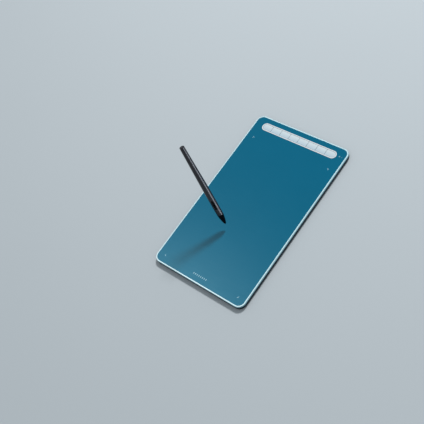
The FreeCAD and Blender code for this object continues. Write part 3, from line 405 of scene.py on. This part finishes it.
def barrel_plastic(colours):
    """Graphite satin plastic with a smooth even gloss."""
    finish = moulded(
        "graphite_barrel_plastic", colours.barrel, roughness=0.32,
        grain=0.0004, depth=0.0000005, wear=0.06, drift=0.015,
    )
    finish.set("Coat Weight", 0.12)
    finish.set("Coat Roughness", 0.30)
    return finish.done()


def cone_plastic(colours):
    """Black plastic, deeper than the barrel's and with little shine."""
    finish = moulded(
        "black_cone_plastic", colours.cone, roughness=0.28,
        grain=0.0004, depth=0.000002, wear=0.015,
    )
    finish.set("Specular IOR Level", 0.12)
    return finish.done()


def board_laminate():
    """Green board with etched tracks under the solder mask."""
    finish = Finish("board_laminate", (0.010, 0.090, 0.045), roughness=0.35)
    tracks = finish.node("ShaderNodeTexBrick", Vector=finish.place, Scale=90.0)
    mask, thin_mask, track = finish.colour, (0.008, 0.075, 0.038), (0.030, 0.160, 0.080)
    for name, colour in (("Color1", mask), ("Color2", thin_mask), ("Mortar", track)):
        tracks.inputs[name].default_value = (*colour, 1.0)
    tracks.inputs["Mortar Size"].default_value = 0.03
    finish.feed("Base Color", tracks.outputs["Color"])
    finish.bump(tracks.outputs["Fac"], depth=0.00002)
    return finish.done()


def coil_copper():
    """Enamelled wire wound round the pen's core."""
    finish = Finish("coil_copper", (0.50, 0.20, 0.07), roughness=0.28)
    finish.set("Metallic", 1.0)
    turns = finish.node("ShaderNodeTexWave", Vector=finish.place, Scale=1400.0, bands_direction="Z")
    finish.bump(turns.outputs["Fac"], depth=0.00004)
    finish.tinted(size=0.002, shift=0.12)
    return finish.done()


def plain_inner(name, colour, roughness, grain=0.0004, depth=0.00001):
    """A moulded or cast piece inside the case."""
    return moulded(name, colour, roughness, grain, depth).done()


# ---- making and dressing pieces ---------------------------------------------------------------


def dress(material, *names):
    """Give CAD pieces a finish."""
    for name in names:
        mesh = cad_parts[name].data
        mesh.materials.clear()
        mesh.materials.append(material)


def add_piece(name, shape, material, body):
    """Turn a bmesh into a piece that rides on a body."""
    bmesh.ops.recalc_face_normals(shape, faces=shape.faces)
    mesh = bpy.data.meshes.new(name)
    shape.to_mesh(mesh)
    shape.free()
    mesh.materials.append(material)
    piece = bpy.data.objects.new(name, mesh)
    bpy.context.scene.collection.objects.link(piece)
    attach(piece, body)


def raise_outline(shape, corners, low, high):
    """Add a prism over an outline of (x, y) corners."""
    base = [shape.verts.new((x, y, low)) for x, y in corners]
    top = [shape.verts.new((x, y, high)) for x, y in corners]
    shape.faces.new(base)
    shape.faces.new(top)
    for index in range(len(corners)):
        shape.faces.new((base[index - 1], base[index], top[index], top[index - 1]))


def rounded_bar(middle, length, width, steps=6):
    """Outline of a bar along X with round ends, each of so many steps."""
    radius = width / 2
    reach = length / 2 - radius
    corners = []
    for end in (1, -1):
        for step in range(steps + 1):
            angle = -math.pi / 2 + math.pi * step / steps
            across = radius * math.cos(angle) * end
            along = radius * math.sin(angle) * end
            corners.append((middle[0] + end * reach + across, middle[1] + along))
    return corners


# ---- operators --------------------------------------------------------------------------------


class TABLET_OT_clear_cover(bpy.types.Operator):
    """Finish the clear cover and the two indicator windows"""

    bl_idname = "tablet.clear_cover"
    bl_label = "Clear Cover"

    def execute(self, context):
        dress(rim_plastic(context.scene.tablet_colours), "clear_cover")
        dress(light_lens(), "indicator_light_pipes", "indicator_leds")
        return {"FINISHED"}


class TABLET_OT_drawing_sheet(bpy.types.Operator):
    """Finish the drawing sheet and print its corner marks and plain mark"""

    bl_idname = "tablet.drawing_sheet"
    bl_label = "Drawing Sheet"

    def execute(self, context):
        colours = context.scene.tablet_colours
        sizes = context.scene.tablet_marks
        dress(sheet_film(colours), "drawing_surface")
        ink = mark_ink(colours)
        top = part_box("drawing_surface")[1].z
        self.print_corners(sizes, ink, top)
        self.print_dashes(sizes, ink, top)
        return {"FINISHED"}

    def print_corners(self, sizes, ink, top):
        """Four right angles whose corners are those of the drawing area."""
        shape = bmesh.new()
        for side in (-1, 1):
            for end in (-1, 1):
                x = sizes.area_shift + end * sizes.area_length / 2
                y = side * sizes.area_width / 2
                arm_x, arm_y = x - end * sizes.arm, y - side * sizes.arm
                inner_x, inner_y = x - end * sizes.stroke, y - side * sizes.stroke
                corners = [
                    (x, y), (arm_x, y), (arm_x, inner_y),
                    (inner_x, inner_y), (inner_x, arm_y), (x, arm_y),
                ]
                raise_outline(shape, corners, top, top + sizes.ink)
        add_piece("corner_marks", shape, ink, "tablet")

    def print_dashes(self, sizes, ink, top):
        """A plain row of dashes near the end that has no keys."""
        x = CAD_BOUNDS[1][0] - sizes.dash_inset
        shape = bmesh.new()
        for index in range(sizes.dash_count):
            y = (index - (sizes.dash_count - 1) / 2) * sizes.dash_pitch
            dash = rounded_bar((x, y), sizes.dash_height, sizes.dash_stroke)
            raise_outline(shape, dash, top, top + sizes.ink)
        add_piece("plain_mark", shape, ink, "tablet")


class TABLET_OT_back_shell(bpy.types.Operator):
    """Finish the back shell, its feet and its screws"""

    bl_idname = "tablet.back_shell"
    bl_label = "Back Shell"

    def execute(self, context):
        dress(shell_plastic(context.scene.tablet_colours), "back_shell")
        dress(foot_rubber(), "rubber_feet")
        dress(plated("blackened_steel", (0.09, 0.09, 0.095), 0.36).done(), "case_screws")
        return {"FINISHED"}


class TABLET_OT_key_strip(bpy.types.Operator):
    """Finish the keys, the ring round them and the switches below them"""

    bl_idname = "tablet.key_strip"
    bl_label = "Key Strip"

    def execute(self, context):
        keys = [f"key_{number}" for number in range(1, KEY_COUNT + 1)]
        plungers = [f"key_plunger_{number}" for number in range(1, KEY_COUNT + 1)]
        colours = context.scene.tablet_colours
        # Painted shade: the ring darkens only at its edges, and the keys also darken towards +X.
        ring = key_plastic("silver_ring_plastic", colours.key_ring, gap_radius=0.00005, painted_fall=0.0)
        dress(ring, "key_bezel")
        silver = key_plastic("silver_key_plastic", colours.keys, gap_radius=0.0006, painted_fall=0.28)
        dress(silver, *keys)
        nylon = plain_inner("switch_nylon", (0.012, 0.012, 0.013), 0.42)
        dress(nylon, "key_switches", "power_switch", "power_switch_plunger", "pen_switches")
        dress(nylon, *plungers)
        return {"FINISHED"}


class TABLET_OT_ports(bpy.types.Operator):
    """Finish the charging socket and the power button, and add the socket's contacts"""

    bl_idname = "tablet.ports"
    bl_label = "Ports"

    def execute(self, context):
        steel = plated("socket_steel", (0.52, 0.53, 0.55), 0.25).done()
        dress(steel, "socket_shell", "shield_plate")
        dress(plain_inner("socket_nylon", (0.01, 0.01, 0.011), 0.5), "socket_tongue")
        dress(shell_plastic(context.scene.tablet_colours), "power_button")
        self.add_contacts()
        return {"FINISHED"}

    def add_contacts(self):
        """Gilt strips on both faces of the socket's tongue."""
        gilt = plated("gilt_contacts", (0.90, 0.62, 0.22), 0.22, grain_along=(1.0, 20.0, 1.0))
        low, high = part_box("socket_tongue")
        middle_y = (low.y + high.y) / 2
        middle_z = (low.z + high.z) / 2
        half_blade = 0.35 * MM
        thickness = 0.04 * MM
        count, pitch = 12, 0.5 * MM
        length, width, inset = 3.2 * MM, 0.26 * MM, 0.6 * MM
        x = low.x + inset + length / 2
        shape = bmesh.new()
        for face in (-1, 1):
            bottom = middle_z + face * half_blade
            for index in range(count):
                y = middle_y + (index - (count - 1) / 2) * pitch
                bar = rounded_bar((x, y), length, width, steps=4)
                raise_outline(shape, bar, bottom, bottom + face * thickness)
        add_piece("socket_contacts", shape, gilt.done(), "tablet")


class TABLET_OT_inside(bpy.types.Operator):
    """Finish the boards, battery and wiring inside the case"""

    bl_idname = "tablet.inside"
    bl_label = "Inside"

    def execute(self, context):
        dress(board_laminate(), "controller_board", "sensor_board")
        dress(plain_inner("black_laminate", (0.010, 0.011, 0.012), 0.45), "pen_circuit_board")
        dress(plain_inner("chip_resin", (0.012, 0.012, 0.013), 0.38), "board_chips")
        cream_nylon = plain_inner("connector_nylon", (0.62, 0.59, 0.48), 0.45)
        dress(cream_nylon, "battery_connector", "flex_connector")
        dress(plain_inner("adhesive_film", (0.60, 0.60, 0.55), 0.3), "adhesive_sheet")
        dress(plain_inner("flex_film", (0.32, 0.13, 0.02), 0.3), "flex_cable")
        dress(plated("battery_foil", (0.55, 0.56, 0.58), 0.38).done(), "battery_cell")
        foam = plain_inner("closed_foam", (0.02, 0.02, 0.021), 0.9, grain=0.0008, depth=0.0002)
        dress(foam, "battery_foam")
        dress(plain_inner("wire_insulation", (0.30, 0.01, 0.01), 0.4), "battery_lead")
        return {"FINISHED"}


class TABLET_OT_pen(bpy.types.Operator):
    """Finish the pen: nib, cone, barrel, cap, side buttons and what is inside"""

    bl_idname = "tablet.pen"
    bl_label = "Pen"

    def execute(self, context):
        colours = context.scene.tablet_colours
        dress(barrel_plastic(colours), "pen_barrel", "pen_end_cap")
        dress(cone_plastic(colours), "pen_cone", "pen_button_front", "pen_button_rear")
        dress(plain_inner("nib_acetal", (0.014, 0.014, 0.015), 0.5, grain=0.0002), "pen_nib")
        grey_nylon = plain_inner("cradle_nylon", (0.04, 0.04, 0.043), 0.5)
        dress(grey_nylon, "pen_cradle", "pen_force_sensor")
        ferrite = plain_inner(
            "sintered_ferrite", (0.03, 0.03, 0.033), 0.6, grain=0.0002, depth=0.00003
        )
        dress(ferrite, "pen_ferrite_core")
        dress(coil_copper(), "pen_coil")
        return {"FINISHED"}


class TABLET_OT_stage(bpy.types.Operator):
    """Set up the pale floor, the soft lamps and the camera"""

    bl_idname = "tablet.stage"
    bl_label = "Stage"

    def execute(self, context):
        studio = context.scene.tablet_studio
        self.lay_floor(studio)
        self.fill_air(context.scene, studio)
        self.hang_key(studio)
        self.hang_sheen(studio)
        self.hang_stripe(studio)
        self.place_camera(context.scene, studio)
        context.scene.view_settings.view_transform = "Standard"
        return {"FINISHED"}

    def lay_floor(self, studio):
        """A wide plain floor under the feet."""
        finish = Finish("studio_floor", studio.floor, roughness=0.7)
        finish.tinted(size=0.4, shift=0.01)
        finish.grain(size=0.002, depth=0.00002)
        shape = bmesh.new()
        half_width, squares = 4.0, 8
        bmesh.ops.create_grid(shape, x_segments=squares, y_segments=squares, size=half_width)
        mesh = bpy.data.meshes.new("studio_floor")
        shape.to_mesh(mesh)
        shape.free()
        mesh.materials.append(finish.done())
        floor = bpy.data.objects.new("studio_floor", mesh)
        bpy.context.scene.collection.objects.link(floor)

    def fill_air(self, scene, studio):
        """Even light from all round."""
        world = bpy.data.worlds.new("studio_air")
        world.use_nodes = True
        background = world.node_tree.nodes["Background"]
        background.inputs["Color"].default_value = (*studio.air, 1.0)
        background.inputs["Strength"].default_value = studio.air_strength
        scene.world = world

    def hang_key(self, studio):
        """The main lamp. It isn't mirrored in anything, so the glossy pieces stay deep."""
        key = self.lamp("key_lamp", studio.key_power, (studio.key_side, studio.key_side))
        key.visible_glossy = False
        near_middle = Vector((0.03, -0.01, 0.0))
        self.aim(key, near_middle, Vector((-0.637, -0.076, 0.767)), distance=3.2)

    def hang_sheen(self, studio):
        """A glow mirrored in the drawing sheet, strongest at the end that has no keys."""
        sheen = self.lamp("sheen_lamp", studio.sheen_power, (studio.sheen_side, studio.sheen_side))
        sheen.visible_diffuse = False
        past_plain_end = Vector((0.165, 0.03, 0.0))
        self.aim(sheen, past_plain_end, Vector((0.00, -0.50, 0.86)), distance=1.1)
        all_but_pen = [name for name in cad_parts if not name.startswith("pen_")]
        self.keep_to(sheen, ("drawing_surface", "clear_cover"), all_but_pen)

    def hang_stripe(self, studio):
        """A bright line mirrored along the pen's barrel and cap."""
        size = (studio.stripe_width, studio.stripe_length)
        stripe = self.lamp("stripe_lamp", studio.stripe_power, size)
        stripe.data.color = studio.stripe_tint
        barrel_middle = Vector((0.032, -0.044, 0.101))
        self.aim(stripe, barrel_middle, Vector((-0.20, 0.95, -0.17)), distance=1.1)
        # The lamp is below the floor, which would catch any ray that bounces off the pen to it.
        stripe.data.cycles.use_multiple_importance_sampling = False
        sleeve = ("pen_barrel", "pen_end_cap")
        self.keep_to(stripe, sleeve, sleeve)

    def lamp(self, name, power, size):
        """A rectangular soft lamp that the camera doesn't see."""
        data = bpy.data.lights.new(name, "AREA")
        data.shape = "RECTANGLE"
        data.size, data.size_y = size
        data.energy = power
        lamp = bpy.data.objects.new(name, data)
        lamp.visible_camera = False
        bpy.context.scene.collection.objects.link(lamp)
        return lamp

    def aim(self, lamp, target, direction, distance):
        """Stand a lamp off from a target and face it."""
        away = direction.normalized()
        lamp.location = target + away * distance
        lamp.rotation_euler = away.to_track_quat("Z", "Y").to_euler()

    def keep_to(self, lamp, lit, shading):
        """Limit the pieces that a lamp lights, and those that cast its shadows."""
        for purpose, names in (("receiver", lit), ("blocker", shading)):
            chosen = bpy.data.collections.new(f"{lamp.name}_{purpose}")
            for name in names:
                chosen.objects.link(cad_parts[name])
            setattr(lamp.light_linking, f"{purpose}_collection", chosen)

    def place_camera(self, scene, studio):
        """The camera that looks down on the tablet from its plain end."""
        data = bpy.data.cameras.new("studio_camera")
        data.lens = studio.lens
        camera = bpy.data.objects.new("studio_camera", data)
        camera.location = studio.camera_place
        camera.rotation_euler = studio.camera_turn
        scene.collection.objects.link(camera)
        scene.camera = camera


# ---- panel ------------------------------------------------------------------------------------

OPERATORS = (
    TABLET_OT_clear_cover,
    TABLET_OT_drawing_sheet,
    TABLET_OT_back_shell,
    TABLET_OT_key_strip,
    TABLET_OT_ports,
    TABLET_OT_inside,
    TABLET_OT_pen,
    TABLET_OT_stage,
)


class TABLET_PT_sidebar(bpy.types.Panel):
    """Lists the steps and the settings they use"""

    bl_idname = "TABLET_PT_sidebar"
    bl_label = "Pen Drawing Tablet"
    bl_space_type = "VIEW_3D"
    bl_region_type = "UI"
    bl_category = "Tablet"

    def draw(self, context):
        layout = self.layout
        for step in OPERATORS:
            layout.operator(step.bl_idname)
        scene = context.scene
        for group in (scene.tablet_colours, scene.tablet_marks, scene.tablet_studio):
            box = layout.box()
            for name in group.bl_rna.properties.keys():
                if name not in ("rna_type", "name"):
                    box.prop(group, name)


CLASSES = (TabletColours, MarkSizes, StudioSettings, *OPERATORS, TABLET_PT_sidebar)


def register():
    """Register the classes and hang the settings on the scene."""
    for item in CLASSES:
        bpy.utils.register_class(item)
    bpy.types.Scene.tablet_colours = PointerProperty(type=TabletColours)
    bpy.types.Scene.tablet_marks = PointerProperty(type=MarkSizes)
    bpy.types.Scene.tablet_studio = PointerProperty(type=StudioSettings)


def unregister():
    """Take the settings off the scene and the classes out."""
    del bpy.types.Scene.tablet_studio
    del bpy.types.Scene.tablet_marks
    del bpy.types.Scene.tablet_colours
    for item in reversed(CLASSES):
        bpy.utils.unregister_class(item)


def main():
    """Dress the whole tablet."""
    register()
    bpy.ops.tablet.clear_cover()
    bpy.ops.tablet.drawing_sheet()
    bpy.ops.tablet.back_shell()
    bpy.ops.tablet.key_strip()
    bpy.ops.tablet.ports()
    bpy.ops.tablet.inside()
    bpy.ops.tablet.pen()
    bpy.ops.tablet.stage()


if __name__ == "__main__":
    main()
